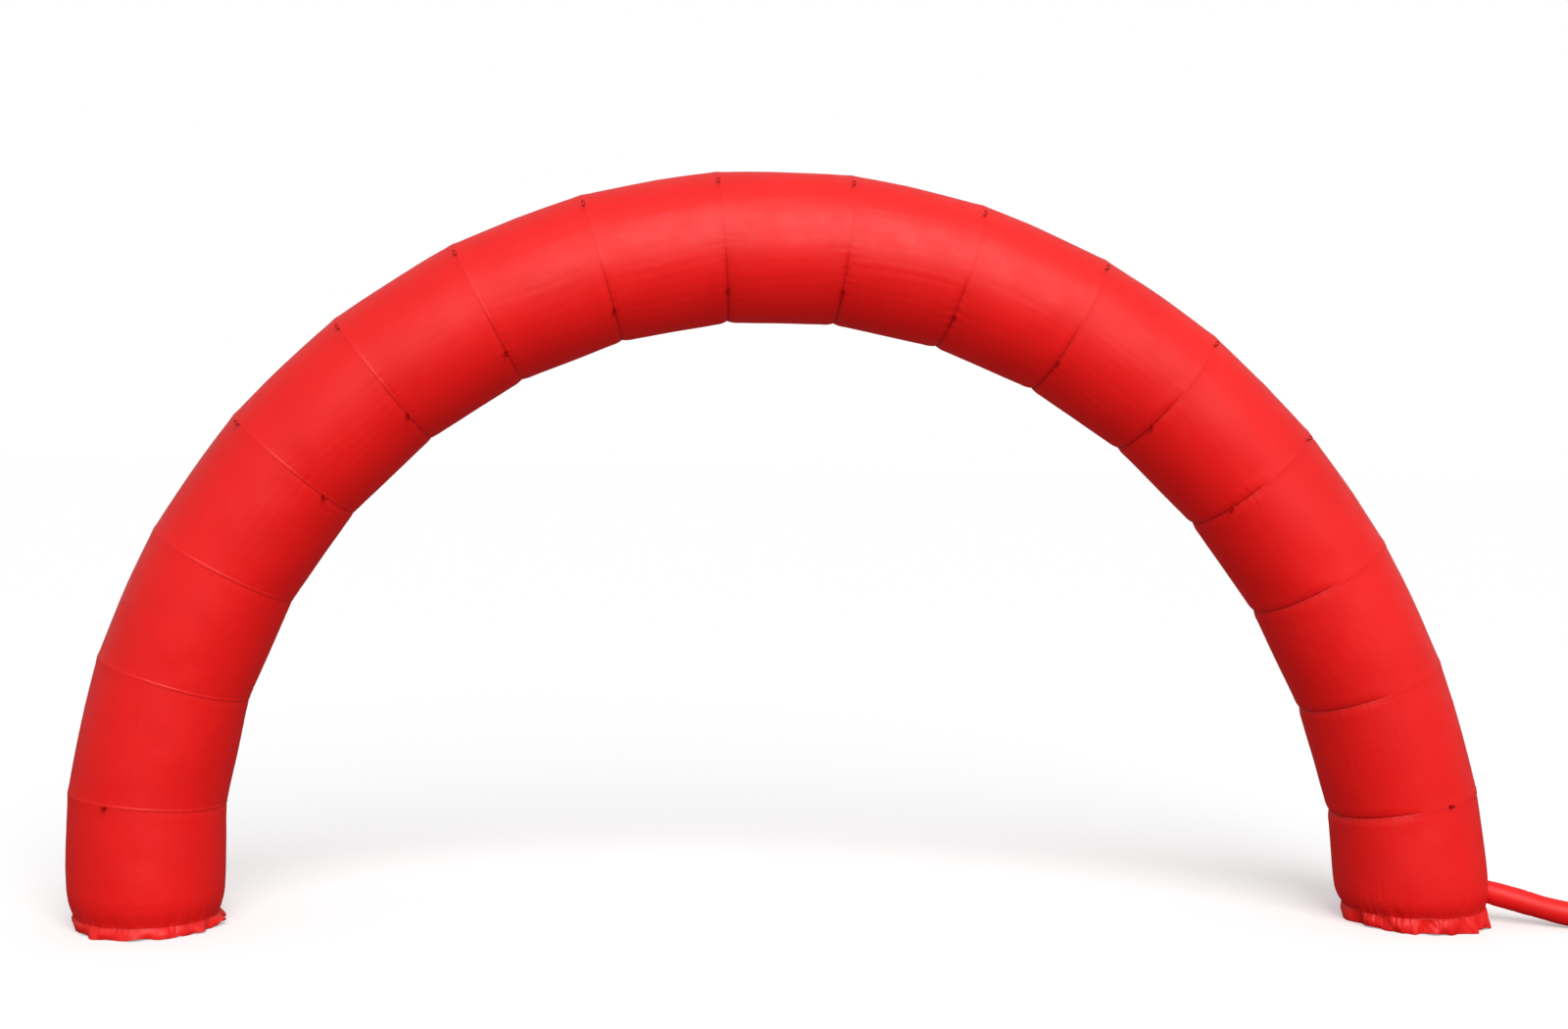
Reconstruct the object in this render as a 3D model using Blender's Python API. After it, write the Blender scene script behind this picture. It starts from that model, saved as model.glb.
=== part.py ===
"""Inflatable arch: a round tube of mitred cloth panels that stands on two gathered feet.

Units are metres and +Z is up. The origin lies on the ground, in the middle of the left foot.
The front faces -Y. The right foot stands at +X, and the air sleeve leaves it there.
"""
import math

import bmesh
import bpy
from mathutils import Vector

# The arch and its tube
ARCH_RADIUS = 4.466                   # centre of the arch to the middle of the tube
TUBE_RADIUS = 0.534
CENTRE_HEIGHT = 0.424                 # centre of the arch above the ground
SEAM_COUNT = 16
PANEL_TURN = math.radians(11.18)      # the tube turns by this much at each seam
RIGHT_SPLAY = 0.069                   # share of the drop by which the right leg strays outwards
FRONT = Vector((0.0, -1.0, 0.0))
UP = Vector((0.0, 0.0, 1.0))

# The panels and the seams between them
SEAM_GAP = 0.0003                     # pieces that touch are this far apart
SEAM_DIP_INNER = 0.014                # how far a seam pulls the cloth in, on the arch's inner side
SEAM_DIP_OUTER = 0.006
SEAM_REACH = 0.030                    # the dip fades out over this distance
PANEL_CROWN = 0.008                   # how far air pushes the middle of a panel out
PANEL_COLUMNS = 32
PANEL_LEVELS = (0.0, 0.035, 0.10, 0.5, 0.90, 0.965, 1.0)

# The feet: share of the foot panel's height, share of the foot's draw-in at that height
FOOT_PROFILE = (
    (0.00, 1.90),
    (0.03, 1.25),
    (0.09, 1.00),
    (0.13, 0.85),
    (0.22, 0.42),
    (0.36, 0.10),
    (0.60, 0.00),
)
FOOT_LEVELS = (0.0, 0.03, 0.09, 0.13, 0.22, 0.36, 0.90, 0.965, 1.0)
FOOT_COLUMNS = 96
GATHER_DEPTH = 0.005                  # the small upright folds above the skirt
LEFT_DRAW_IN = 0.040
RIGHT_DRAW_IN = 0.028

# The gathered skirts, sewn round the feet and resting on the ground
SKIRT_THICKNESS = 0.003
SKIRT_EDGE = -0.012                   # lower edge from the tube's nominal radius, on average
SKIRT_WAVE = 0.022                    # how far its lower edge swings in and out
SKIRT_LIFT = 0.012                    # how high its folds lift off the ground
LEFT_SKIRT_TOP = 0.09                 # share of the foot panel's height
RIGHT_SKIRT_TOP = 0.13
SKIRT_LEVELS = (1.0, 0.67, 0.33, 0.0) # rows of a skirt, as shares of its height
SLOPE_STEP = 0.002                    # step over which the cloth's slope is measured

# The air sleeve
SLEEVE_RADIUS = 0.087
SLEEVE_NECK = 0.080                   # drawn in where it is sewn to the foot
SLEEVE_NECK_LENGTH = 0.12
SLEEVE_WALL = 0.003
SLEEVE_HEM_LENGTH = 0.045
SLEEVE_HEM_WALL = 0.005
SLEEVE_SIDES = 16
SLEEVE_STEPS = 3                      # rings between two points of the route
SLEEVE_SEAT = 0.0005                  # its sewn end clears the foot's rounded cloth by this much
FOOT_SEARCH_ROUNDS = 4
SLEEVE_REST = SLEEVE_RADIUS - 0.002   # it sags to a narrow flat on the ground
# The sleeve's route: distance out (+X) from the foot's axis, distance to the front, height of its middle
SLEEVE_ROUTE = (
    (0.485, 0.100, 0.230),
    (0.700, 0.180, 0.178),
    (0.90, 0.245, 0.128),
    (1.10, 0.320, 0.094),
    (1.32, 0.365, SLEEVE_REST),
    (1.58, 0.380, SLEEVE_REST),
    (1.82, 0.380, SLEEVE_REST),
    (2.05, 0.380, SLEEVE_REST),
)

# Webbing tie loops, sewn into the seams
LOOP_WIDTH = 0.020
LOOP_THICKNESS = 0.002
# One side of the folded loop: half of its spread, height above the cloth
LOOP_OUTLINE = (
    (0.0040, 0.000),
    (0.0050, 0.011),
    (0.0100, 0.022),
    (0.0115, 0.032),
    (0.0070, 0.040),
    (0.0000, 0.043),
)
INNER_LOOP_FACET = -4                 # which flat of the tube carries it, counted from the front
OUTER_LOOP_FACET = 4
FOOT_LOOP_FACET = 1
LOOP_SEAMS = range(4, 14)             # seams are numbered from the left foot
FOOT_LOOP_SEAMS = (1, 16)

LEFT_FOOT = 0
RIGHT_FOOT = SEAM_COUNT


def clear_scene():
    for item in list(bpy.data.objects):
        bpy.data.objects.remove(item, do_unlink=True)


def cloth(name, colour, roughness):
    material = bpy.data.materials.new(name)
    material.use_nodes = True
    shader = material.node_tree.nodes["Principled BSDF"]
    shader.inputs["Base Color"].default_value = (*colour, 1.0)
    shader.inputs["Roughness"].default_value = roughness
    shader.inputs["Metallic"].default_value = 0.0
    return material


def splay(side, z):
    """How far the right leg, on the positive side, stands outside the true circle at a height."""
    drop = CENTRE_HEIGHT + ARCH_RADIUS - z
    return RIGHT_SPLAY * drop ** 2 / ARCH_RADIUS if side > 0 else 0.0


def spine():
    """Corners of the tube's middle line: left foot, the seams in turn, right foot."""
    reach = ARCH_RADIUS / math.cos(PANEL_TURN / 2)
    half_span = reach * math.sin(PANEL_TURN * (SEAM_COUNT - 1) / 2)
    corners = []
    for seam in range(SEAM_COUNT):
        angle = PANEL_TURN * (seam - (SEAM_COUNT - 1) / 2)
        side = reach * math.sin(angle)
        z = CENTRE_HEIGHT + reach * math.cos(angle)
        corners.append(Vector((half_span + side + splay(side, z), 0.0, z)))
    left_foot = Vector((0.0, 0.0, 0.0))
    right_foot = Vector((2 * half_span + splay(half_span, 0.0), 0.0, 0.0))
    return [left_foot, *corners, right_foot]


SPINE = spine()


def run(panel):
    return (SPINE[panel + 1] - SPINE[panel]).normalized()


def seam_normal(corner):
    """The plane of a seam halves its turn; the feet are cut level with the ground."""
    if corner == 0:
        return UP
    if corner == len(SPINE) - 1:
        return -UP
    return (run(corner - 1) + run(corner)).normalized()


def around(corner, angle):
    """Unit direction in the seam's plane; 0 is the front and a quarter turn is the arch's outer side."""
    outward = FRONT.cross(seam_normal(corner))
    return math.cos(angle) * FRONT + math.sin(angle) * outward


def seam_point(corner, angle):
    """Where the plain tube meets a seam's plane, which stretches its circle a little."""
    outward = FRONT.cross(seam_normal(corner))
    level = corner in (0, len(SPINE) - 1)
    stretch = 1.0 if level else 1.0 / seam_normal(corner).dot(run(corner))
    direction = math.cos(angle) * FRONT + math.sin(angle) * stretch * outward
    return SPINE[corner] + TUBE_RADIUS * direction


def tube_point(panel, share, angle, rise):
    """A point on a panel, at a share of its length, raised above the plain tube."""
    base = seam_point(panel, angle).lerp(seam_point(panel + 1, angle), share)
    direction = around(panel, angle).lerp(around(panel + 1, angle), share).normalized()
    return base + rise * direction


def panel_length(panel, angle):
    return (seam_point(panel + 1, angle) - seam_point(panel, angle)).length


def seam_depth(angle):
    inner_share = (1.0 - math.sin(angle)) / 2
    return SEAM_DIP_OUTER + (SEAM_DIP_INNER - SEAM_DIP_OUTER) * inner_share


def seam_dip(distance, angle):
    return seam_depth(angle) * math.exp(-(distance / SEAM_REACH) ** 2)


def table_value(table, key):
    """Straight-line reading of a table of (key, value) rows."""
    for (low, low_value), (high, high_value) in zip(table, table[1:]):
        if key <= high:
            return low_value + (high_value - low_value) * (key - low) / (high - low)
    return table[-1][1]


def gathers(angle):
    """Uneven small folds, between -1 and 1."""
    return 0.6 * math.cos(17 * angle) + 0.4 * math.cos(29 * angle + 1.3)


def ruffle(angle):
    """Uneven wider folds of a skirt, between -1 and 1."""
    return 0.65 * math.cos(13 * angle + 0.4) + 0.35 * math.cos(21 * angle + 2.1)


def panel_rise(panel, share, angle):
    """Crown of the cloth, less what the seams at both ends pull in."""
    length = panel_length(panel, angle)
    crown = PANEL_CROWN * math.sin(math.pi * share)
    return crown - seam_dip(share * length, angle) - seam_dip((1.0 - share) * length, angle)


def foot_rise(panel, height, angle):
    """A foot's cloth at a share of its height above the ground."""
    draw_in = LEFT_DRAW_IN if panel == LEFT_FOOT else RIGHT_DRAW_IN
    dip = seam_dip((1.0 - height) * panel_length(panel, angle), angle)
    fold_share = max(0.0, 1.0 - abs(height - 0.11) / 0.11)
    fold = GATHER_DEPTH * fold_share * gathers(angle)
    return fold - draw_in * table_value(FOOT_PROFILE, height) - dip


def foot_share(panel, height):
    """The foot panels' shares run from the left foot to the right one, and heights from the ground."""
    return height if panel == LEFT_FOOT else 1.0 - height


def angles(columns):
    return [2 * math.pi * column / columns for column in range(columns)]


def skin(name, rings, material, closed=False):
    """Skins rings of equal point counts; open rows are capped, closed rows join end to start.

    Closed rows run down the outer wall and back along the inner one. Both walls are split into
    triangles along the same diagonals, so that they stay one thickness apart.
    """
    bm = bmesh.new()
    rows = [[bm.verts.new(point) for point in ring] for ring in rings]
    pairs = list(zip(rows, rows[1:]))
    if closed:
        pairs.append((rows[-1], rows[0]))
    for number, (low, high) in enumerate(pairs):
        turn = 0 if number < len(rows) // 2 else 1
        for column in range(len(low)):
            corners = (low[column - 1], low[column], high[column], high[column - 1])
            if closed:
                first, second, third, fourth = corners[turn:] + corners[:turn]
                bm.faces.new((first, second, third))
                bm.faces.new((first, third, fourth))
            else:
                bm.faces.new(corners)
    if not closed:
        bm.faces.new(rows[0])
        bm.faces.new(rows[-1])
    return finish(name, bm, material)


def finish(name, bm, material):
    bmesh.ops.recalc_face_normals(bm, faces=bm.faces)
    mesh = bpy.data.meshes.new(name)
    bm.to_mesh(mesh)
    bm.free()
    mesh.materials.append(material)
    mesh.shade_smooth()
    mesh.set_sharp_from_angle(angle=math.radians(40))
    item = bpy.data.objects.new(name, mesh)
    bpy.context.scene.collection.objects.link(item)
    return item


def build_panel(panel, material):
    rings = []
    for level in PANEL_LEVELS:
        ring = []
        for angle in angles(PANEL_COLUMNS):
            inset = SEAM_GAP / 2 / panel_length(panel, angle)
            share = min(max(level, inset), 1.0 - inset)
            ring.append(tube_point(panel, share, angle, panel_rise(panel, level, angle)))
        rings.append(ring)
    return skin(f"tube_panel_{panel + 1:02d}", rings, material)


def build_foot(panel, name, material):
    rings = []
    for level in FOOT_LEVELS:
        ring = []
        for angle in angles(FOOT_COLUMNS):
            inset = SEAM_GAP / 2 / panel_length(panel, angle)
            share = foot_share(panel, min(level, 1.0 - inset))
            ring.append(tube_point(panel, share, angle, foot_rise(panel, level, angle)))
        rings.append(ring)
    return skin(name, rings, material)


def skirt_point(panel, top, height, angle):
    """The inner face of a skirt: its top lies on the foot, and its lower edge swings in and out."""
    fall = 1.0 - height / top
    seat = foot_rise(panel, top, angle) + SEAM_GAP
    edge = SKIRT_EDGE + SKIRT_WAVE * ruffle(angle)
    spot = tube_point(panel, foot_share(panel, height), angle, seat + (edge - seat) * fall)
    spot.z += SKIRT_LIFT * max(0.0, math.cos(7 * angle + 0.9)) ** 2 * fall ** 2
    return spot


def skirt_outer_point(panel, top, height, angle):
    """The outer face, one thickness off the inner one, square to the cloth."""
    here = skirt_point(panel, top, height, angle)
    around_step = skirt_point(panel, top, height, angle + SLOPE_STEP) - here
    upward_step = skirt_point(panel, top, height + SLOPE_STEP * top, angle) - here
    square = upward_step.cross(around_step).normalized()
    outward = around(panel, angle)
    if square.dot(outward) < 0:
        square = -square
    spot = here + SKIRT_THICKNESS * square
    if height == 0.0:
        spot.z = here.z
    return spot


def build_skirt(panel, top, name, material):
    """A thin gathered strip, sewn on at its top and resting on the ground at its lower edge."""
    levels = [top * level for level in SKIRT_LEVELS]
    outer = []
    inner = []
    for height in levels:
        outer.append([skirt_outer_point(panel, top, height, angle) for angle in angles(FOOT_COLUMNS)])
        inner.append([skirt_point(panel, top, height, angle) for angle in angles(FOOT_COLUMNS)])
    return skin(name, outer + inner[::-1], material, closed=True)


def smooth_route(points, steps):
    """A smooth curve through the route's points, with evenly stepped points between them."""
    route = []
    padded = [2 * points[0] - points[1], *points, 2 * points[-1] - points[-2]]
    for before, start, end, after in zip(padded, padded[1:], padded[2:], padded[3:]):
        for step in range(steps):
            t = step / steps
            route.append(0.5 * (2 * start + (end - before) * t
                                + (2 * before - 5 * start + 4 * end - after) * t ** 2
                                + (3 * start - before - 3 * end + after) * t ** 3))
    route.append(points[-1])
    return route


def outside_right_foot(point):
    """Whether a point lies clear of the right foot's cloth."""
    angle = math.pi / 2
    for _ in range(FOOT_SEARCH_ROUNDS):
        height = point.z / seam_point(RIGHT_FOOT, angle).z
        axis = SPINE[RIGHT_FOOT + 1].lerp(SPINE[RIGHT_FOOT], height)
        angle = math.atan2(point.x - axis.x, axis.y - point.y)
    share = foot_share(RIGHT_FOOT, height)
    surface = tube_point(RIGHT_FOOT, share, angle, foot_rise(RIGHT_FOOT, height, angle))
    return (point - axis).to_2d().length > (surface - axis).to_2d().length + SLEEVE_SEAT


def seat_on_foot(point, direction):
    """Slides a point along a direction until it just clears the right foot."""
    near = 0.0
    far = TUBE_RADIUS
    while far - near > 1e-5:
        middle = (near + far) / 2
        if outside_right_foot(point + middle * direction):
            far = middle
        else:
            near = middle
    return point + far * direction


def build_sleeve(material):
    """A hollow sleeve of cloth: sewn to the right foot, sagging to the ground, open at its hemmed mouth."""
    foot = SPINE[RIGHT_FOOT + 1]
    points = [foot + Vector((out, -forward, height)) for out, forward, height in SLEEVE_ROUTE]
    route = smooth_route(points, SLEEVE_STEPS)
    walked = 0.0
    outer_rings = []
    inner_rings = []
    total = sum((b - a).length for a, b in zip(route, route[1:]))
    stations = [(route[0], (route[1] - route[0]).normalized(), 0.0)]
    for before, here, after in zip(route, route[1:], [*route[2:], None]):
        walked += (here - before).length
        heading = ((after - before) if after is not None else (here - before)).normalized()
        stations.append((here, heading, walked))
    hem_start = stations[-1][0] - stations[-1][1] * SLEEVE_HEM_LENGTH
    stations.insert(-1, (hem_start, stations[-1][1], total - SLEEVE_HEM_LENGTH))
    for number, (centre, heading, distance) in enumerate(stations):
        side = heading.cross(UP).normalized()
        above = side.cross(heading)
        ease = min(1.0, distance / SLEEVE_NECK_LENGTH)
        radius = SLEEVE_NECK + (SLEEVE_RADIUS - SLEEVE_NECK) * math.sin(ease * math.pi / 2)
        wall = SLEEVE_HEM_WALL if number == len(stations) - 1 else SLEEVE_WALL
        outer = []
        inner = []
        for angle in angles(SLEEVE_SIDES):
            spoke = math.cos(angle) * side + math.sin(angle) * above
            for ring, reach, floor in ((outer, radius, 0.0), (inner, radius - wall, wall)):
                spot = centre + reach * spoke
                if number == 0:
                    spot = seat_on_foot(spot, heading)
                spot.z = max(spot.z, floor)
                ring.append(spot)
        outer_rings.append(outer)
        inner_rings.append(inner)
    return skin("air_sleeve", outer_rings + inner_rings[::-1], material, closed=True)


def loop_outline():
    """The folded webbing seen along its eye: outer line up and over, then the inner line back."""
    right = [Vector((spread, height)) for spread, height in LOOP_OUTLINE]
    left = [Vector((-spread, height)) for spread, height in LOOP_OUTLINE[-2::-1]]
    middle = right + left
    outline = []
    for side in (1, -1):
        line = []
        for number, here in enumerate(middle):
            before = middle[max(number - 1, 0)]
            after = middle[min(number + 1, len(middle) - 1)]
            heading = (after - before).normalized()
            normal = Vector((heading.y, -heading.x))
            spot = here + side * LOOP_THICKNESS / 2 * normal
            if number in (0, len(middle) - 1):
                spot.y = 0.0
            line.append(spot)
        outline += line if side == 1 else line[::-1]
    return outline


def build_loop(name, corner, facet, columns, material):
    """A loop that straddles a seam, in the middle of one flat of the tube."""
    angle = 2 * math.pi * (facet + 0.5) / PANEL_COLUMNS
    half_flat = math.pi / columns
    ends = [seam_point(corner, angle + side * half_flat) for side in (-1, 1)]
    outward = around(corner, angle)
    along = seam_normal(corner)
    across = outward.cross(along)
    foot_spread = LOOP_OUTLINE[0][0] + LOOP_THICKNESS / 2
    first_level = PANEL_LEVELS[1] * panel_length(corner, angle)
    slope = (seam_depth(angle) - seam_dip(first_level, angle)) / first_level
    lift = slope * foot_spread + 2 * SEAM_GAP - seam_depth(angle)
    seat = (ends[0] + ends[1]) / 2 + lift * outward
    bm = bmesh.new()
    corners = []
    for spread, height in loop_outline():
        corners.append(bm.verts.new(seat + spread * along + height * outward - LOOP_WIDTH / 2 * across))
    face = bm.faces.new(corners)
    grown = bmesh.ops.extrude_face_region(bm, geom=[face])
    moved = [part for part in grown["geom"] if isinstance(part, bmesh.types.BMVert)]
    bmesh.ops.translate(bm, verts=moved, vec=LOOP_WIDTH * across)
    return finish(name, bm, material)


def build():
    clear_scene()
    red_cloth = cloth("coated_polyester_red", (0.78, 0.018, 0.018), 0.42)
    skirt_cloth = cloth("gathered_polyester_red", (0.80, 0.030, 0.030), 0.48)
    sleeve_cloth = cloth("sleeve_polyester_red", (0.72, 0.020, 0.020), 0.50)
    webbing = cloth("woven_webbing_red", (0.62, 0.015, 0.015), 0.75)
    build_foot(LEFT_FOOT, "foot_left", red_cloth)
    build_foot(RIGHT_FOOT, "foot_right", red_cloth)
    for panel in range(1, SEAM_COUNT):
        build_panel(panel, red_cloth)
    build_skirt(LEFT_FOOT, LEFT_SKIRT_TOP, "skirt_left", skirt_cloth)
    build_skirt(RIGHT_FOOT, RIGHT_SKIRT_TOP, "skirt_right", skirt_cloth)
    build_sleeve(sleeve_cloth)
    for seam in LOOP_SEAMS:
        build_loop(f"tie_loop_inner_{seam:02d}", seam, INNER_LOOP_FACET, PANEL_COLUMNS, webbing)
        build_loop(f"tie_loop_outer_{seam:02d}", seam, OUTER_LOOP_FACET, PANEL_COLUMNS, webbing)
    for seam in FOOT_LOOP_SEAMS:
        build_loop(f"tie_loop_foot_{seam:02d}", seam, FOOT_LOOP_FACET, FOOT_COLUMNS, webbing)


build()
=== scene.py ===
"""Looks of the inflatable arch: sewn cloth panels, gathered skirts, air sleeve and webbing loops.

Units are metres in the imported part's own frame. The origin lies on the ground, in the middle of the
left foot. The front faces -Y, and the right foot stands at +X, where the air sleeve leaves it.
"""
import math

import bmesh
import bpy
import numpy as np
from mathutils import Matrix, Vector


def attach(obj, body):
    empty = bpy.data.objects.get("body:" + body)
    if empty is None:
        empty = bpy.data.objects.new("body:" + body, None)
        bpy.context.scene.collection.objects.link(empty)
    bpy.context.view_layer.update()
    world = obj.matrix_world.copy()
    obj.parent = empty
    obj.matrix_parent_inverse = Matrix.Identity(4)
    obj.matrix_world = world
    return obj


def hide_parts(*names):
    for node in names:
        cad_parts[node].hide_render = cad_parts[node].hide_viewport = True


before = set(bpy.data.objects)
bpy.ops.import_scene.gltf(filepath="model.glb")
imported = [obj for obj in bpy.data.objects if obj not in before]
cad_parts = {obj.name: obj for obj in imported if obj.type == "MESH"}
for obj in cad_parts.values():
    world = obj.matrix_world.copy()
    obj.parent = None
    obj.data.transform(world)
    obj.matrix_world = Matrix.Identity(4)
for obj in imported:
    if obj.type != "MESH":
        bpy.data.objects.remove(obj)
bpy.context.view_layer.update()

# Camera, placed as the photograph was taken
CAMERA_PLACE = Vector((3.4207, -13.9157, 3.3661))
CAMERA_YAW = 0.0779                   # radians, towards +X
CAMERA_PITCH = -0.0284
CAMERA_ROLL = 0.0148
CAMERA_LENS = 44.14                   # mm
CAMERA_SENSOR = 36.0                  # mm wide
CAMERA_REACH = 2000.0

# The arch and its tube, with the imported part's values
ARCH_RADIUS = 4.466                   # centre of the arch to the middle of the tube
TUBE_RADIUS = 0.534
CENTRE_HEIGHT = 0.424                 # centre of the arch above the ground
SEAM_COUNT = 16
PANEL_TURN = math.radians(11.18)      # the tube turns by this much at each seam
RIGHT_SPLAY = 0.069                   # share of the drop by which the right leg strays outwards
FRONT = np.array((0.0, -1.0, 0.0))
UP = np.array((0.0, 0.0, 1.0))
LEFT_FOOT = 0
RIGHT_FOOT = SEAM_COUNT
SEAM_GAP = 0.0003                     # pieces that touch are this far apart

# Relief of the sewn cloth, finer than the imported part's
SEAM_DIP_INNER = 0.0045               # how far a seam pulls the cloth in, on the arch's inner side
SEAM_DIP_OUTER = 0.0004
SEAM_REACH = 0.026                    # the dip fades out over this distance
PANEL_CROWN = 0.007                   # crown of a plain panel; the simulation starts from half of it
CREASE_INNER = 0.0050                 # sharp crease at the stitching, beyond the wide dip
CREASE_OUTER = 0.0002
CREASE_REACH = 0.010
BAND_WIDTH = 0.014                    # felled seam: the folded allowance, stitched down on one side
BAND_RISE = 0.0034
BAND_SLOPE = 0.005
PUCKER_INNER = 0.0025                 # short folds that run away from the stitching
PUCKER_OUTER = 0.0005
PUCKER_REACH = 0.075
UNEVEN_RISE = 0.0028                  # slow swells of a panel
UNEVEN_WAVES = 9
STREAK_RISE = 0.0007                  # long faint folds along the tube

# Seeds of the fixed random draws; a seam's or panel's number is added where each has its own
SEEDS = {"pucker": 700, "pucker_patch": 900, "swell": 300, "streak": 500, "start": 5, "drawn_fold": 40,
         "shade": 77, "skirt_lean": 64, "skirt_ripple": 60, "skirt_belly": 95, "skirt_hem": 110,
         "sleeve_pleat": 21, "sleeve_slack": 22}

# The cloth is simulated as one tube, blown up from inside and held where it is sewn
SIM_COLUMNS = 160
SIM_ROWS = 16                         # to a panel
SIM_FRAMES = 20
SIM_START = 0.0005                    # uneven start, from which the cloth finds its folds
AIR_PRESSURE = 4.0
CLOTH_EXCESS = 0.012                  # share by which the cloth is larger than the seams that hold it
SEAM_WAVE = 0.0040                    # the stitching gathers the cloth by about this much
BULGE_CAP = 0.018
INNER_FILL = 0.30                     # share of the simulated bulge kept on the arch's inner side
OUTER_FILL = 0.95                     # and in the middle of a panel on its outer side
HOLLOW_PASSES = 4                     # hollows in the outer side's bulge are filled this many times
HOLLOW_ROWS = 3
HOLLOW_COLUMNS = 5

# Rows of a panel: distances from its seams, close together where the cloth is creased
ROW_DISTANCES = (0.0, 0.0015, 0.003, 0.005, 0.008, 0.011, 0.0135, 0.0145, 0.019, 0.026, 0.035, 0.046,
                 0.060, 0.077, 0.097, 0.121, 0.150, 0.184, 0.223, 0.268, 0.320, 0.378)
PANEL_COLUMNS = 288

# Small creases where the photograph shows them: panel, then angle and share of the length at each
# end, then depth and width
CREASES = (
    (1, -34, 0.745, -55, 0.705, 0.0040, 0.012),
    (1, -55, 0.705, -88, 0.590, 0.0050, 0.014),
    (1, -60, 0.640, -96, 0.520, 0.0030, 0.012),
    (2, -62, 0.085, -100, 0.120, 0.0030, 0.012),
    (3, -30, 0.940, -75, 0.900, 0.0025, 0.014),
    (4, -42, 0.930, -80, 0.850, 0.0030, 0.014),
    (7, -20, 0.075, -52, 0.110, 0.0030, 0.012),
    (9, -35, 0.930, -80, 0.890, 0.0030, 0.013),
    (10, -30, 0.080, -72, 0.130, 0.0032, 0.013),
    (11, -34, 0.070, -74, 0.140, 0.0032, 0.013),
    (13, -26, 0.250, -45, 0.215, 0.0034, 0.012),
    (13, -45, 0.070, -72, 0.120, 0.0030, 0.012),
    (14, -40, 0.080, -80, 0.130, 0.0026, 0.012),
    (16, -84, 0.575, -42, 0.520, 0.0028, 0.016),
    (16, -43, 0.560, -44, 0.720, 0.0030, 0.014),
    (9, 40, 0.960, 75, 0.900, 0.0020, 0.014),
    (11, 38, 0.050, 70, 0.090, 0.0020, 0.014),
    (13, 52, 0.030, 80, 0.075, 0.0032, 0.011),
    (14, 50, 0.035, 78, 0.070, 0.0034, 0.011),
    (15, 46, 0.950, 80, 0.985, 0.0034, 0.011),
    (16, 44, 0.045, 74, 0.050, 0.0036, 0.011),
)

# Feet: share of the foot panel's height, share of the foot's draw-in there
FOOT_PROFILE = ((0.00, 1.90), (0.03, 1.25), (0.09, 1.00), (0.13, 0.80), (0.20, 0.36), (0.28, 0.10),
                (0.45, 0.00))
# The right foot is fuller low down, most on the arch's inner side
FULLNESS_PROFILE = ((0.00, 0.0), (0.12, 0.0), (0.18, 0.6), (0.24, 1.0), (0.36, 0.95), (0.70, 0.40),
                    (1.00, 0.0))
FOOT_FULLNESS = 0.013
FOOT_HEIGHT = 0.905                   # the lowest seams' middle above the ground
LEFT_DRAW_IN = 0.040
RIGHT_DRAW_IN = 0.028
GATHER_DEPTH = 0.005                  # the small upright folds above the skirt
GATHER_MIDDLE = 0.11                  # share of the height where they are deepest
LEFT_FOLD_STEP = 0.17                 # radians between the folds drawn up above the skirt
RIGHT_FOLD_STEP = 0.105
HOLD_REACH = 0.05                     # share of the height above the skirt where the cloth is free
HOLD_FADE = 0.04
LEFT_SKIRT_TOP = 0.09                 # share of the foot panel's height
RIGHT_SKIRT_TOP = 0.13
FOOT_COLUMNS = 432
FOOT_ROW_STEP = 0.0125                # share of the height between rows low on a foot

# Gathered skirts
SKIRT_THICKNESS = 0.0016
SKIRT_REST = 0.0012                   # its inner face stays at least this far above the ground
SKIRT_EDGE = -0.012                   # lower edge from the tube's nominal radius, on average
SKIRT_WAVE = 0.022                    # how far its lower edge swings in and out
SKIRT_LIFT = 0.012                    # how high its wide folds lift off the ground
SKIRT_HEM_LIFT = 0.006                # how high its hem lifts between them, unevenly
SKIRT_RIPPLE = 0.0022
SKIRT_BELLY = 0.012                   # how far its middle hangs out
SKIRT_FULLNESS = 1.08                 # it is cut this many times the length of the foot's girth
SKIRT_COLUMNS = 720
SKIRT_ROWS = 14
LEFT_SKIRT_FOLD = 0.014
RIGHT_SKIRT_FOLD = 0.024
LEFT_SKIRT_FOLDS = (13, 23)           # two sets of folds round the foot, wide and narrow
RIGHT_SKIRT_FOLDS = (11, 17)
LEFT_SKIRT_LEAN = 1.8                 # how unevenly the folds stand, in radians of their wave
RIGHT_SKIRT_LEAN = 3.2

# The left skirt is tucked under on the arch's outer side, and a tip of it lifts on the inner side
TUCK_START = 28.0                     # degrees round the tube
TUCK_END = 150.0
TUCK_BLEND = 25.0
TUCK_DEPTH = 0.012
TIP_ANGLE = math.radians(-84)
TIP_REACH = 0.030
TIP_LIFT = 0.045

# Air sleeve
SLEEVE_RADIUS = 0.087
SLEEVE_NECK = 0.080                   # drawn in where it is sewn to the foot
SLEEVE_NECK_LENGTH = 0.12
SLEEVE_WALL = 0.0015
SLEEVE_HEM_LENGTH = 0.045
SLEEVE_HEM_RISE = 0.0011
SLEEVE_REST = SLEEVE_RADIUS - 0.002   # it sags to a narrow flat on the ground
SLEEVE_FLOAT = 0.0002                 # its lower face clears the ground by this much
SLEEVE_SEAT = 0.0005                  # and its sewn end the foot's cloth by this much
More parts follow.
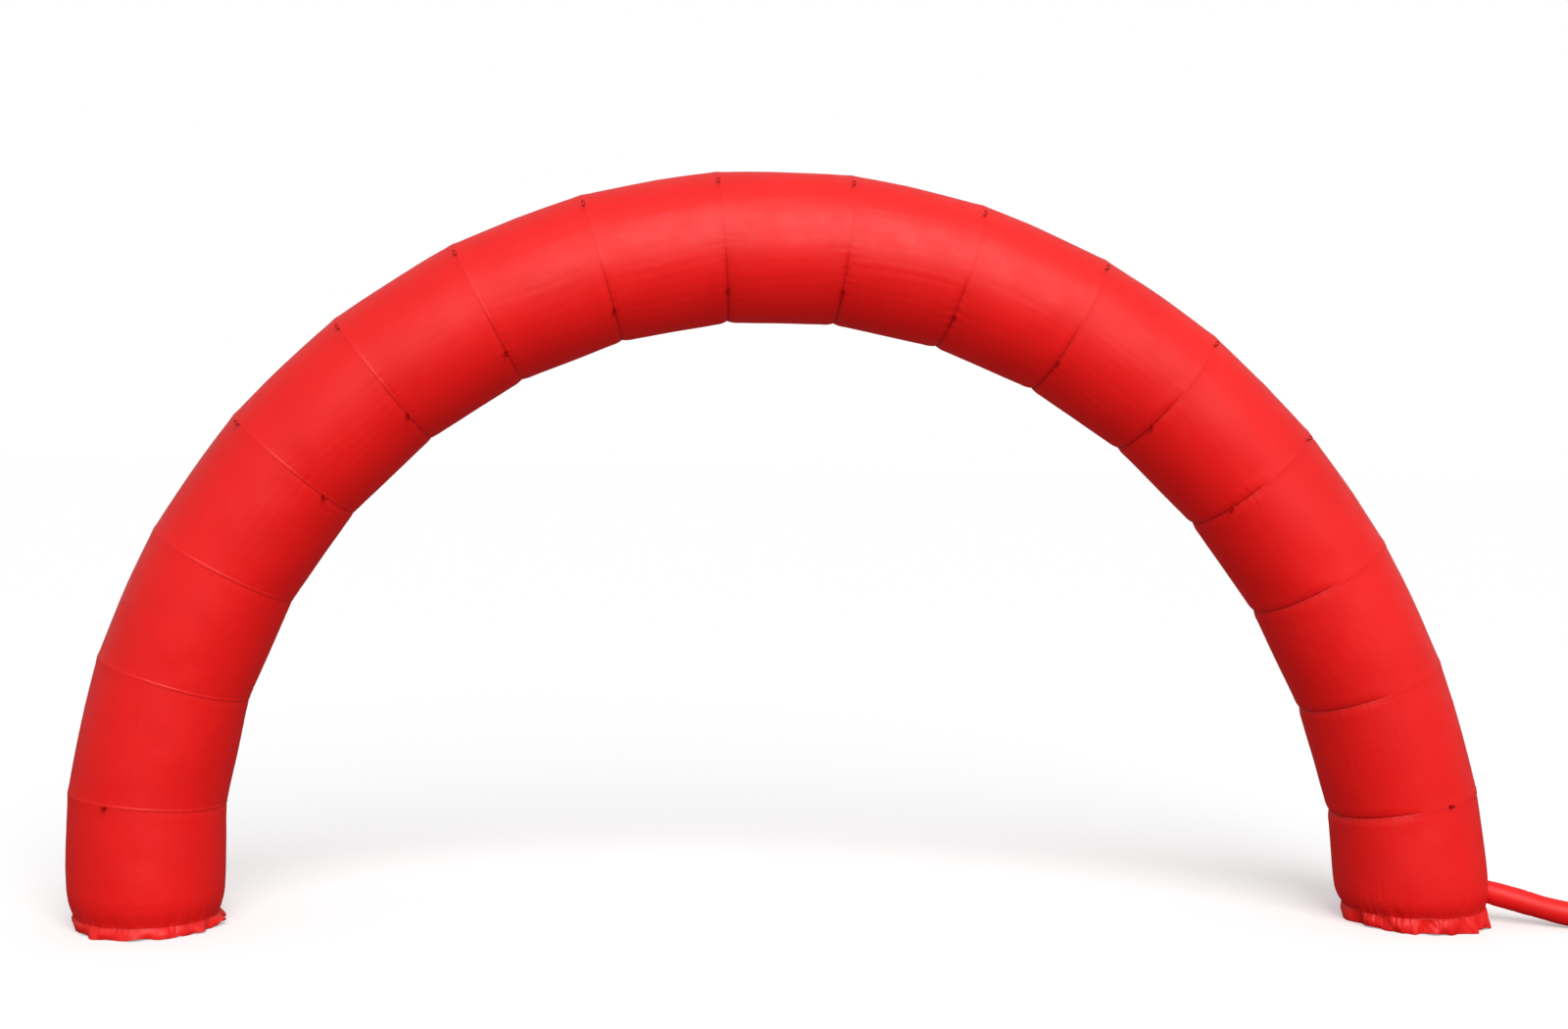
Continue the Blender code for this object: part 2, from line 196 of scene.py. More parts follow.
# Outwards from the middle of the right foot, forwards and up
SLEEVE_ROUTE = ((0.485, 0.100, 0.230), (0.700, 0.180, 0.178), (0.90, 0.245, 0.128), (1.10, 0.320, 0.094),
                (1.32, 0.365, SLEEVE_REST), (1.58, 0.380, SLEEVE_REST), (1.82, 0.380, SLEEVE_REST),
                (2.05, 0.380, SLEEVE_REST))
SLEEVE_STEPS = 24                     # points of the smooth route between two of these
SLEEVE_COLUMNS = 96
SLEEVE_ROWS = 200
SLEEVE_CROWDING = 1.12                # above 1, its rows lie closer together near the foot
HEADING_STEP = 0.004                  # its direction is measured over this distance, each way
SLEEVE_PLEAT = 0.0022                 # pleats at its neck
SLEEVE_WOBBLE = 0.0022                # how far its mouth strays from round
SLACK_STEP = 0.045                    # its ring creases lie about this far apart
FOOT_SEARCH_ROUNDS = 4
SEAT_HALVINGS = 16

# Webbing tie loops
LOOP_WIDTH = 0.020
LOOP_THICKNESS = 0.002
# Half of the outline that the webbing is folded to: distance from the seam, then height
LOOP_OUTLINE = ((0.0040, 0.000), (0.0050, 0.011), (0.0100, 0.022), (0.0115, 0.032), (0.0070, 0.040),
                (0.0, 0.043))
LOOP_STEPS = 3                        # points of the webbing's smooth line between two of these
LOOP_CELLS = 6                        # faces across the webbing
LOOP_EDGE = 0.0005                    # rounding of its edges
TUBE_FLATS = 32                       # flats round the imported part's tube, counted from the front
LOOP_FLATS = {"inner": -4, "outer": 4, "foot": 1}
LOOP_ANGLES = {place: 2 * math.pi * (flat + 0.5) / TUBE_FLATS for place, flat in LOOP_FLATS.items()}
LOOP_SEAMS = range(4, 14)             # seams are numbered from the left foot
FOOT_LOOP_SEAMS = (1, 16)

SHARP_ANGLE = math.radians(50)        # edges that turn by more than this look sharp


def unit(vectors):
    return vectors / np.linalg.norm(vectors, axis=-1, keepdims=True)


def splay(side, z):
    """How far the right leg stands outside the true circle at a height."""
    drop = CENTRE_HEIGHT + ARCH_RADIUS - z
    return RIGHT_SPLAY * drop ** 2 / ARCH_RADIUS if side > 0 else 0.0


def spine():
    """Corners of the tube's middle line: left foot, the seams in turn, right foot."""
    reach = ARCH_RADIUS / math.cos(PANEL_TURN / 2)
    half_span = reach * math.sin(PANEL_TURN * (SEAM_COUNT - 1) / 2)
    corners = [(0.0, 0.0, 0.0)]
    for seam in range(SEAM_COUNT):
        angle = PANEL_TURN * (seam - (SEAM_COUNT - 1) / 2)
        side = reach * math.sin(angle)
        z = CENTRE_HEIGHT + reach * math.cos(angle)
        corners.append((half_span + side + splay(side, z), 0.0, z))
    corners.append((2 * half_span + splay(half_span, 0.0), 0.0, 0.0))
    return np.array(corners)


SPINE = spine()
RUNS = unit(SPINE[1:] - SPINE[:-1])
# A seam's plane halves the tube's turn there, and the feet are cut level with the ground
SEAM_NORMALS = np.vstack((UP, unit(RUNS[:-1] + RUNS[1:]), -UP))
SEAM_OUTWARDS = np.cross(FRONT, SEAM_NORMALS)
SEAM_STRETCH = np.array([1.0, *(1.0 / (SEAM_NORMALS[1:-1] * RUNS[1:]).sum(axis=1)), 1.0])


def around(corner, angle):
    """Unit directions in a seam's plane; 0 is the front, a quarter turn is the arch's outer side."""
    return np.outer(np.cos(angle), FRONT) + np.outer(np.sin(angle), SEAM_OUTWARDS[corner])


def seam_points(corner, angle):
    """Where the plain tube meets a seam's plane, which stretches its circle a little."""
    ring = np.outer(np.cos(angle), FRONT)
    ring = ring + np.outer(np.sin(angle) * SEAM_STRETCH[corner], SEAM_OUTWARDS[corner])
    return SPINE[corner] + TUBE_RADIUS * ring


def tube_points(panel, share, angle, rise):
    """Points on a panel, at shares of its length, raised above the plain tube."""
    low = seam_points(panel, angle)
    high = seam_points(panel + 1, angle)
    step = share[:, None]
    direction = unit(around(panel, angle) * (1 - step) + around(panel + 1, angle) * step)
    return low + (high - low) * step + rise[:, None] * direction


def panel_lengths(panel, angle):
    return np.linalg.norm(seam_points(panel + 1, angle) - seam_points(panel, angle), axis=1)


def waves(seed, lowest, highest, count, angle):
    """Uneven waves round the tube, mostly between -1 and 1, the same on each run."""
    draw = np.random.default_rng(seed)
    turns = draw.integers(lowest, highest, count)
    phases = draw.uniform(0.0, 2 * math.pi, count)
    strengths = draw.uniform(0.4, 1.0, count)
    total = sum(s * np.cos(t * angle + p) for t, p, s in zip(turns, phases, strengths))
    return 1.7 * total / strengths.sum()


def inner_blend(angle, inner, outer):
    """Runs from the value on the arch's outer side to the one on its inner side."""
    return outer + (inner - outer) * (1.0 - np.sin(angle)) / 2


def pinch(corner):
    """How tightly a seam is pulled in: the left leg's lie almost flat, the right leg's crease."""
    return float(np.clip((corner - 2) / 6, 0.15, 1.0))


def pulled_in(angle):
    """Where a seam cuts in sharply: all of it on the arch's inner side, none of it past the middle."""
    share = np.clip(-np.sin(angle) / 0.4, 0.0, 1.0)
    return share * share * (3.0 - 2.0 * share)


def seam_dip(corner, distance, angle):
    """How far a seam pulls the cloth in at a distance from it."""
    depth = inner_blend(angle, SEAM_DIP_INNER, SEAM_DIP_OUTER) * (0.3 + 0.7 * pinch(corner))
    depth = depth * (0.35 + 0.65 * pulled_in(angle))
    return depth * np.exp(-(distance / SEAM_REACH) ** 2)


def seam_relief(corner, distance, angle, banded):
    """What the stitching does to the cloth close by: sharp crease, folded allowance and puckers."""
    crease = CREASE_OUTER + (CREASE_INNER - CREASE_OUTER) * pulled_in(angle)
    crease = crease * pinch(corner) * np.exp(-distance / CREASE_REACH)
    patch = 0.55 + 0.45 * waves(SEEDS["pucker_patch"] + corner, 2, 8, 4, angle)
    pucker = waves(SEEDS["pucker"] + corner, 26, 78, 9, angle) * patch
    pucker = pucker * inner_blend(angle, PUCKER_INNER, PUCKER_OUTER)
    rise = pucker * np.exp(-distance / PUCKER_REACH) * np.minimum(1.0, 0.35 + distance / 0.02)
    rise = rise - crease
    if banded:
        proud = BAND_RISE * (1.0 - 0.75 * pinch(corner)) * np.clip((0.6 - np.sin(angle)) / 0.5, 0.15, 1.0)
        band = np.clip((BAND_WIDTH + BAND_SLOPE - distance) / BAND_SLOPE, 0.0, 1.0)
        rise = rise + proud * band
    return rise


def swells(panel, share, angle):
    """Slow unevenness of a filled panel, and faint long folds that die out at its seams."""
    draw = np.random.default_rng(SEEDS["swell"] + panel)
    total = 0.0
    for _ in range(UNEVEN_WAVES):
        turns = draw.integers(1, 9)
        halves = draw.integers(1, 4)
        phase = draw.uniform(0.0, 2 * math.pi)
        wave = draw.uniform(-1.0, 1.0) * np.cos(turns * angle + phase)
        total = total + wave * np.sin(halves * math.pi * share)
    drift = angle + 0.05 * np.sin(math.pi * share + panel)
    streaks = waves(SEEDS["streak"] + panel, 14, 60, 10, drift)
    fade = np.sqrt(np.sin(math.pi * np.clip(share, 0.0, 1.0)))
    return UNEVEN_RISE * total / 3 + STREAK_RISE * streaks * fade


def creases(panel, share, angle, length):
    """Small creases pressed into the cloth along straight lines, with a soft lip beside each."""
    total = np.zeros_like(angle)
    for at, angle_a, share_a, angle_b, share_b, depth, width in CREASES:
        if at != panel:
            continue
        start = np.array((TUBE_RADIUS * math.radians(angle_a), share_a * length.mean()))
        end = np.array((TUBE_RADIUS * math.radians(angle_b), share_b * length.mean()))
        place = np.stack((TUBE_RADIUS * angle, share * length.mean()), axis=1) - start
        line = end - start
        along = np.clip((place @ line) / (line @ line), 0.0, 1.0)
        off = np.linalg.norm(place - along[:, None] * line, axis=1) / width
        fade = np.sin(math.pi * np.clip(along, 0.04, 0.96)) ** 0.5
        total = total + depth * fade * (0.45 * np.exp(-((off - 1.6) / 0.8) ** 2) - np.exp(-off ** 2))
    return total


def calm_rise(panel, share, angle):
    length = panel_lengths(panel, angle)
    rise = PANEL_CROWN * np.sin(math.pi * share)
    if panel > LEFT_FOOT:
        rise = rise - seam_dip(panel, share * length, angle)
    if panel < RIGHT_FOOT:
        rise = rise - seam_dip(panel + 1, (1.0 - share) * length, angle)
    return rise


def foot_share(panel, height):
    """A share of a foot's height as a share of its panel's length, and the other way about."""
    return height if panel == LEFT_FOOT else 1.0 - height


def foot_hold(panel, share):
    """How firmly a foot's gathering holds its cloth: 1 below the gather line, fading above it."""
    if panel not in (LEFT_FOOT, RIGHT_FOOT):
        return np.zeros_like(share)
    height = foot_share(panel, share)
    top = LEFT_SKIRT_TOP if panel == LEFT_FOOT else RIGHT_SKIRT_TOP
    return np.clip((top + HOLD_REACH - height) / HOLD_FADE, 0.0, 1.0)


def inflate_cloth():
    """Blows up the whole tube of cloth; gives how far it stands from the plain tube, by row and column."""
    rows = SIM_ROWS * (SEAM_COUNT + 1)
    bm = ring_tube(SIM_COLUMNS, rows, False)
    mesh, angle, row = tube_mesh("blown_cloth", bm, rows)
    panel = np.minimum(row // SIM_ROWS, SEAM_COUNT)
    share = row / SIM_ROWS - panel
    plain = np.zeros((len(angle), 3))
    direction = np.zeros((len(angle), 3))
    rise = np.zeros(len(angle))
    held = (row % SIM_ROWS == 0) | (row == rows)
    jitter = np.random.default_rng(SEEDS["start"]).uniform(-SIM_START, SIM_START, len(angle))
    for number in range(SEAM_COUNT + 1):
        here = panel == number
        plain[here] = tube_points(number, share[here], angle[here], np.zeros(here.sum()))
        proud = tube_points(number, share[here], angle[here], np.ones(here.sum()))
        direction[here] = proud - plain[here]
        rise[here] = jitter[here] + 0.5 * calm_rise(number, share[here], angle[here])
        held[here] |= foot_hold(number, share[here]) >= 1.0
    for corner in range(1, SEAM_COUNT + 1):
        sewn = row == corner * SIM_ROWS
        ripple = waves(SEEDS["pucker"] + corner, 24, 60, 9, angle[sewn])
        gather = SEAM_WAVE * inner_blend(angle[sewn], 1.0, 0.35) * ripple
        rise[sewn] = gather * 0.5 - seam_dip(corner, 0.0, angle[sewn])
    place_points(mesh, plain + rise[:, None] * direction)
    cloth = bpy.data.objects.new("blown_cloth", mesh)
    bpy.context.scene.collection.objects.link(cloth)
    cloth.vertex_groups.new(name="sewn").add(np.flatnonzero(held).tolist(), 1.0, "REPLACE")
    blower = cloth.modifiers.new("air", "CLOTH")
    blower.collision_settings.use_collision = False
    settings = blower.settings
    settings.quality = 4
    settings.tension_stiffness = 30.0
    settings.compression_stiffness = 10.0
    settings.shear_stiffness = 10.0
    settings.bending_stiffness = 0.08
    settings.air_damping = 1.0
    settings.vertex_group_mass = "sewn"
    settings.shrink_min = -CLOTH_EXCESS
    settings.use_pressure = True
    settings.uniform_pressure_force = AIR_PRESSURE
    settings.effector_weights.gravity = 0.0
    blower.point_cache.frame_start = 1
    blower.point_cache.frame_end = SIM_FRAMES
    scene = bpy.context.scene
    for number in range(1, SIM_FRAMES + 1):
        scene.frame_set(number)
    blown = cloth.evaluated_get(bpy.context.evaluated_depsgraph_get()).data
    bulge = ((mesh_places(blown) - plain) * direction).sum(axis=1)
    scene.frame_set(1)
    bpy.data.objects.remove(cloth)
    table = np.zeros((rows + 1, SIM_COLUMNS))
    column = np.rint(angle / (2 * math.pi) * SIM_COLUMNS).astype(int) % SIM_COLUMNS
    table[row, column] = np.clip(bulge, -BULGE_CAP, BULGE_CAP)
    return settle(table)


def filled(bulge):
    """Brings the hollows of a panel's bulge up to its own evened shape, a few times over."""
    count = len(bulge)
    for _ in range(HOLLOW_PASSES):
        padded = np.pad(bulge, ((HOLLOW_ROWS, HOLLOW_ROWS), (0, 0)), mode="edge")
        even = sum(padded[step:step + count] for step in range(2 * HOLLOW_ROWS + 1)) / (2 * HOLLOW_ROWS + 1)
        sides = range(-HOLLOW_COLUMNS, HOLLOW_COLUMNS + 1)
        even = sum(np.roll(even, step, axis=1) for step in sides) / (2 * HOLLOW_COLUMNS + 1)
        bulge = np.maximum(bulge, even)
    return bulge


def settle(table):
    """Smooths the bulge round the tube, rounds it on the outer side and levels the seams that lie flat."""
    angle = np.arange(SIM_COLUMNS) * 2 * math.pi / SIM_COLUMNS
    outer = np.clip((np.sin(angle) + 0.2) / 0.6, 0.0, 1.0)
    for start in range(0, len(table) - 1, SIM_ROWS):
        inside = table[start + 1:start + SIM_ROWS]
        padded = np.vstack((inside[:1], inside, inside[-1:]))
        inside = (padded[:-2] + 2 * padded[1:-1] + padded[2:]) / 4
        near = np.roll(inside, 1, axis=1) + np.roll(inside, -1, axis=1)
        far = np.roll(inside, 2, axis=1) + np.roll(inside, -2, axis=1)
        inside = (3 * inside + 2 * near + far) / 9
        inside = inside + (filled(inside) - inside) * outer
        share = np.arange(1, SIM_ROWS)[:, None] / SIM_ROWS
        arc = OUTER_FILL * (0.1 + 0.9 * 4 * share * (1.0 - share))
        table[start + 1:start + SIM_ROWS] = inside * inner_blend(angle[None, :], INNER_FILL, arc)
    for corner in range(1, SEAM_COUNT + 1):
        row = corner * SIM_ROWS
        level = (table[row - 1] + table[row + 1]) / 2
        even = 1.0 - pinch(corner) * pulled_in(angle)
        table[row] = table[row] + (level - table[row]) * even
    return table


def between(before, start, end, after, t):
    """A smooth curve through four evenly spaced values, read between the middle two."""
    return 0.5 * (2 * start + (end - before) * t + (2 * before - 5 * start + 4 * end - after) * t ** 2
                  + (3 * start - before - 3 * end + after) * t ** 3)


def blown_rise(panel, share, angle):
    """The simulated cloth's rise on one panel, read smoothly between its rows and columns."""
    if BLOWN is None:
        return calm_rise(panel, share, angle)
    rows = BLOWN[panel * SIM_ROWS:(panel + 1) * SIM_ROWS + 1]
    rows = np.vstack((2 * rows[0] - rows[1], rows, 2 * rows[-1] - rows[-2]))
    place = np.clip(share, 0.0, 1.0) * SIM_ROWS
    low = np.minimum(place.astype(int), SIM_ROWS - 1)
    turn = angle / (2 * math.pi) * SIM_COLUMNS
    left = np.floor(turn).astype(int)
    lines = []
    for step in range(4):
        values = [rows[low + step, (left + side) % SIM_COLUMNS] for side in (-1, 0, 1, 2)]
        lines.append(between(*values, turn - left))
    return between(*lines, place - low)


def panel_rise(panel, share, angle):
    """A panel's cloth between its seams, with all of its relief."""
    length = panel_lengths(panel, angle)
    rise = blown_rise(panel, share, angle)
    rise = rise + swells(panel, share, angle) + creases(panel, share, angle, length)
    rise = rise + seam_relief(panel, share * length, angle, True)
    return rise + seam_relief(panel + 1, (1.0 - share) * length, angle, False)


def foot_profile(height, table):
    """A table's values at shares of the foot's height, with its corners rounded off."""
    keys, values = zip(*table)
    fine = np.linspace(-0.2, 1.2, 1401)
    window = np.hanning(61)
    smooth = np.convolve(np.interp(fine, keys, values), window / window.sum(), mode="same")
    return np.interp(height, fine, smooth)


def gathers(angle):
    """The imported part's uneven small folds, between -1 and 1."""
    return 0.6 * np.cos(17 * angle) + 0.4 * np.cos(29 * angle + 1.3)


def ruffle(angle):
    """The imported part's uneven wide folds of a skirt, between -1 and 1."""
    return 0.65 * np.cos(13 * angle + 0.4) + 0.35 * np.cos(21 * angle + 2.1)


def drawn_folds(panel, height, angle):
    """Upright folds that the gathering presses into a foot above its skirt, each its own size."""
    right = panel == RIGHT_FOOT
    top = RIGHT_SKIRT_TOP if right else LEFT_SKIRT_TOP
    draw = np.random.default_rng(SEEDS["drawn_fold"] + panel)
    total = np.zeros_like(angle)
    for place in np.arange(0.0, 2 * math.pi, RIGHT_FOLD_STEP if right else LEFT_FOLD_STEP):
        centre = place + draw.uniform(-0.05, 0.05)
        width = draw.uniform(0.011, 0.024)
        reach = draw.uniform(0.035, 0.11)
        depth = draw.uniform(0.003, 0.0115) * (1.0 if right else 0.8)
        off = (angle - centre + math.pi) % (2 * math.pi) - math.pi
        spread = width * (1.0 + 1.4 * np.clip((height - top) / reach, 0.0, 2.0))
        above = np.clip((height - top) / reach, 0.0, None)
        total = total - depth * np.exp(-(off / spread) ** 2) * np.exp(-above ** 1.6)
    return total


def foot_rise(panel, height, angle):
    """A foot's cloth at a share of its height above the ground."""
    left = panel == LEFT_FOOT
    draw_in = LEFT_DRAW_IN if left else RIGHT_DRAW_IN
    length = panel_lengths(panel, angle)
    strength = np.maximum(0.0, 1.0 - np.abs(height - GATHER_MIDDLE) / GATHER_MIDDLE)
    fold = GATHER_DEPTH * strength * gathers(angle)
    share = foot_share(panel, height)
    rise = fold + drawn_folds(panel, height, angle) - draw_in * foot_profile(height, FOOT_PROFILE)
    if not left:
        fuller = foot_profile(height, FULLNESS_PROFILE)
        rise = rise + FOOT_FULLNESS * inner_blend(angle, 1.5, 0.5) * fuller
    free = 1.0 - foot_hold(panel, share)
    rise = rise + blown_rise(panel, share, angle) * free
    rise = rise + swells(panel, share, angle) * np.clip(height / 0.3, 0.0, 1.0)
    rise = rise + creases(panel, share, angle, length)
    return rise + seam_relief(1 if left else RIGHT_FOOT, (1.0 - height) * length, angle, not left)


def srgb(code):
    """A hex colour as the linear values that a shader takes."""
    parts = [int(code[place:place + 2], 16) / 255 for place in (0, 2, 4)]
    linear = [part / 12.92 if part <= 0.04045 else ((part + 0.055) / 1.055) ** 2.4 for part in parts]
    return (*linear, 1.0)


def add_node(tree, kind, links=None, **settings):
    """Adds a node; links gives each input a value or another node's output."""
    node = tree.nodes.new(kind)
    for name, value in settings.items():
        setattr(node, name, value)
    for socket, value in (links or {}).items():
        if isinstance(value, bpy.types.NodeSocket):
            tree.links.new(value, node.inputs[socket])
        else:
            node.inputs[socket].default_value = value
    return node


def new_material(name):
    material = bpy.data.materials.new(name)
    material.use_nodes = True
    tree = material.node_tree
    return material, tree, tree.nodes["Principled BSDF"]


def wave_scale(period):
    """The Wave texture's scale for bands this many metres apart."""
    return math.pi / 10 / period


def thread_grid(tree, place, pitch):
    """Height of a plain weave: two sets of bands that cross."""
    across = add_node(tree, "ShaderNodeTexWave", {"Vector": place, "Scale": wave_scale(pitch)},
                      bands_direction="X").outputs["Fac"]
    along = add_node(tree, "ShaderNodeTexWave", {"Vector": place, "Scale": wave_scale(pitch)},
                     bands_direction="Y").outputs["Fac"]
    return add_node(tree, "ShaderNodeMath", {0: across, 1: along}, operation="MULTIPLY").outputs[0]


def stitch_rows(tree, place, seam_distance, rows):
    """1 on the stitches: dashes of thread that run along a seam at the given distances from it."""
    sides = add_node(tree, "ShaderNodeSeparateXYZ", {0: place})
    beat = add_node(tree, "ShaderNodeMath", {0: sides.outputs["X"], 1: STITCH_PITCH},
                    operation="FLOORED_MODULO").outputs[0]
    dash = add_node(tree, "ShaderNodeMath", {0: beat, 1: STITCH_SHARE * STITCH_PITCH},
                    operation="LESS_THAN").outputs[0]
    total = None
    for row in rows:
        near = add_node(tree, "ShaderNodeMath", {0: seam_distance, 1: row, 2: THREAD_HALF},
                        operation="COMPARE").outputs[0]
        mark = add_node(tree, "ShaderNodeMath", {0: near, 1: dash}, operation="MULTIPLY").outputs[0]
        if total is None:
            total = mark
        else:
            total = add_node(tree, "ShaderNodeMath", {0: total, 1: mark}, operation="MAXIMUM").outputs[0]
    return total


# Cloth finishes: real threads are about 0.4 mm apart and sewing thread 0.4 mm thick. Both are drawn
# coarser here, at the sizes below, because the arch is 12 m long and they would not show.
WEAVE_PITCH = 0.0024
WEAVE_DEPTH = 0.0004
THREAD_HALF = 0.0008                  # half the width that a stitch is drawn at
THREAD_DEPTH = 0.0008
STITCH_PITCH = 0.0075
STITCH_SHARE = 0.74                   # share of the pitch that shows thread
BAND_STITCHES = (0.0035, 0.0110)      # rows of stitches, at these distances from a seam
SKIRT_STITCHES = (0.006,)
SLEEVE_STITCHES = (0.004,)
THREAD_RED = "F0241E"
# painted shade beside a seam fades out over this distance
PAINTED_SHADE_REACH = 0.009
TINT_SCALE = 1.3                      # the red varies over patches about 0.8 m across
PATCH_SCALE = 7.0                      # the darkening near the ground and the roughness vary over patches about 0.14 m across
LOW_DARKENING_HEIGHT = 0.22                  # the cloth is darker towards the ground, up to this height
LOW_DARKENING_STRENGTH = 0.30
PACKING_SCALE = (9.0, 2.2, 1.0)       # waves left by packing, about 0.11 m round and 0.45 m along
PACKING_DEPTH = 0.006
RIB_PITCH = 0.0016                    # webbing: ribs across it and yarns along it
YARN_PITCH = 0.0025
WEBBING_DEPTH = 0.0005


def coated_polyester(name, red, deep_red, roughness, weave, stitches):
    """Woven polyester with a thin coating: a satin surface, deep even red, thin folds from packing."""
    material, tree, shader = new_material(name)
    cloth_place = add_node(tree, "ShaderNodeUVMap", uv_map="cloth").outputs["UV"]
    object_place = add_node(tree, "ShaderNodeTexCoord").outputs["Object"]
    seam = add_node(tree, "ShaderNodeAttribute", attribute_name="seam_distance").outputs["Fac"]
    cloud = add_node(tree, "ShaderNodeTexNoise", {"Vector": object_place, "Scale": TINT_SCALE, "Detail": 4.0,
                                                  "Roughness": 0.55}).outputs["Fac"]
    patch_noise = add_node(tree, "ShaderNodeTexNoise", {"Vector": object_place, "Scale": PATCH_SCALE,
                                                 "Detail": 6.0}).outputs["Fac"]
    tint = add_node(tree, "ShaderNodeMapRange", {"Value": cloud, "From Min": 0.35,
                                                 "From Max": 0.65}).outputs[0]
    body = add_node(tree, "ShaderNodeMix", {"Factor": tint, "A": srgb(deep_red), "B": srgb(red)},
                    data_type="RGBA")
    # Painted shade darkens a seam's crease, most on the arch's inner side where shade falls; the layers
    # folded into the seam look a little darker too
    kept = add_node(tree, "ShaderNodeAttribute", attribute_name="seam_layers_and_painted_shade").outputs["Fac"]
    shade = add_node(tree, "ShaderNodeMapRange", {"Value": kept, "To Min": 1.0, "To Max": 0.45}).outputs[0]
    # The cloth is darker towards the ground, in patches
    height = add_node(tree, "ShaderNodeSeparateXYZ", {0: object_place}).outputs["Z"]
    low_darkening = add_node(tree, "ShaderNodeMapRange", {"Value": height, "From Min": 0.0,
                                                   "From Max": LOW_DARKENING_HEIGHT, "To Min": LOW_DARKENING_STRENGTH,
                                                   "To Max": 0.0}).outputs[0]
    patchy_low_darkening = add_node(tree, "ShaderNodeMath", {0: low_darkening, 1: patch_noise}, operation="MULTIPLY").outputs[0]
    undarkened = add_node(tree, "ShaderNodeMath", {0: 1.0, 1: patchy_low_darkening}, operation="SUBTRACT").outputs[0]
    value = add_node(tree, "ShaderNodeMath", {0: shade, 1: undarkened}, operation="MULTIPLY").outputs[0]
    shaded = add_node(tree, "ShaderNodeHueSaturation", {"Color": body.outputs["Result"], "Value": value})
    marks = stitch_rows(tree, cloth_place, seam, stitches)
    colour = add_node(tree, "ShaderNodeMix", {"Factor": marks, "A": shaded.outputs["Color"],
                                              "B": srgb(THREAD_RED)}, data_type="RGBA")
    tree.links.new(colour.outputs["Result"], shader.inputs["Base Color"])
    gloss = add_node(tree, "ShaderNodeMapRange", {"Value": patch_noise, "From Min": 0.3, "From Max": 0.7,
                                                  "To Min": roughness - 0.05,
                                                  "To Max": roughness + 0.06}).outputs[0]
    tree.links.new(gloss, shader.inputs["Roughness"])
    shader.inputs["IOR"].default_value = 1.5
    shader.inputs["Specular IOR Level"].default_value = 0.36
    # Relief: the weave, the stitches, and shallow waves left by packing the cloth away
    threads = thread_grid(tree, cloth_place, WEAVE_PITCH)
    weave_bump = add_node(tree, "ShaderNodeBump", {"Height": threads, "Strength": weave,
                                                   "Distance": WEAVE_DEPTH})
    stretched = add_node(tree, "ShaderNodeMapping", {"Vector": cloth_place, "Scale": PACKING_SCALE})
    waves_left = add_node(tree, "ShaderNodeTexNoise", {"Vector": stretched.outputs[0], "Scale": 1.0,
                                                       "Detail": 3.0})
    wave_bump = add_node(tree, "ShaderNodeBump", {"Height": waves_left.outputs["Fac"], "Strength": 0.30,
                                                  "Distance": PACKING_DEPTH,
                                                  "Normal": weave_bump.outputs[0]})
    thread_bump = add_node(tree, "ShaderNodeBump", {"Height": marks, "Strength": 0.8,
                                                    "Distance": THREAD_DEPTH,
                                                    "Normal": wave_bump.outputs[0]})
    tree.links.new(thread_bump.outputs[0], shader.inputs["Normal"])
    return material


def woven_webbing(name, red, deep_red):
    """Flat polyester webbing: matt, ribbed across, a little darker than the cloth."""
    material, tree, shader = new_material(name)
    tape = add_node(tree, "ShaderNodeUVMap", uv_map="cloth").outputs["UV"]
    ribs = add_node(tree, "ShaderNodeTexWave", {"Vector": tape, "Scale": wave_scale(RIB_PITCH),
                                                "Distortion": 0.4}, bands_direction="Y").outputs["Fac"]
    yarns = add_node(tree, "ShaderNodeTexWave", {"Vector": tape, "Scale": wave_scale(YARN_PITCH)},
                     bands_direction="X").outputs["Fac"]
    relief = add_node(tree, "ShaderNodeMath", {0: ribs, 1: yarns}, operation="MULTIPLY").outputs[0]
    colour = add_node(tree, "ShaderNodeMix", {"Factor": relief, "A": srgb(deep_red), "B": srgb(red)},
                      data_type="RGBA")
    tree.links.new(colour.outputs["Result"], shader.inputs["Base Color"])
    bump = add_node(tree, "ShaderNodeBump", {"Height": relief, "Strength": 0.6, "Distance": WEBBING_DEPTH})
    tree.links.new(bump.outputs[0], shader.inputs["Normal"])
    shader.inputs["Roughness"].default_value = 0.72
    shader.inputs["Specular IOR Level"].default_value = 0.15
    return material


def ring_tube(columns, rows, capped):
    """A round tube one unit high, of quads in even rows, that a piece is shaped from."""
    bm = bmesh.new()
    bmesh.ops.create_cone(bm, cap_ends=capped, cap_tris=False, segments=columns, radius1=1.0, radius2=1.0,
                          depth=1.0)
    uprights = [edge for edge in bm.edges if abs(edge.verts[0].co.z - edge.verts[1].co.z) > 0.5]
    bmesh.ops.subdivide_edges(bm, edges=uprights, cuts=rows - 1, use_grid_fill=True)
    return bm


def hand_over(name, bm):
    """Turns a finished bmesh into a mesh."""
    mesh = bpy.data.meshes.new(name)
    bm.to_mesh(mesh)
    bm.free()
    return mesh


def mesh_places(mesh):
    """A mesh's points, one to a row."""
    places = np.empty(len(mesh.vertices) * 3)
    mesh.vertices.foreach_get("co", places)
    return places.reshape(-1, 3)


def tube_mesh(name, bm, rows):
    """Hands a tube over to a mesh, with each point's angle round the tube and its row."""
    mesh = hand_over(name, bm)
    places = mesh_places(mesh)
    angle = np.arctan2(places[:, 1], places[:, 0])
    row = np.rint((places[:, 2] + 0.5) * rows).astype(int)
    return mesh, angle, row


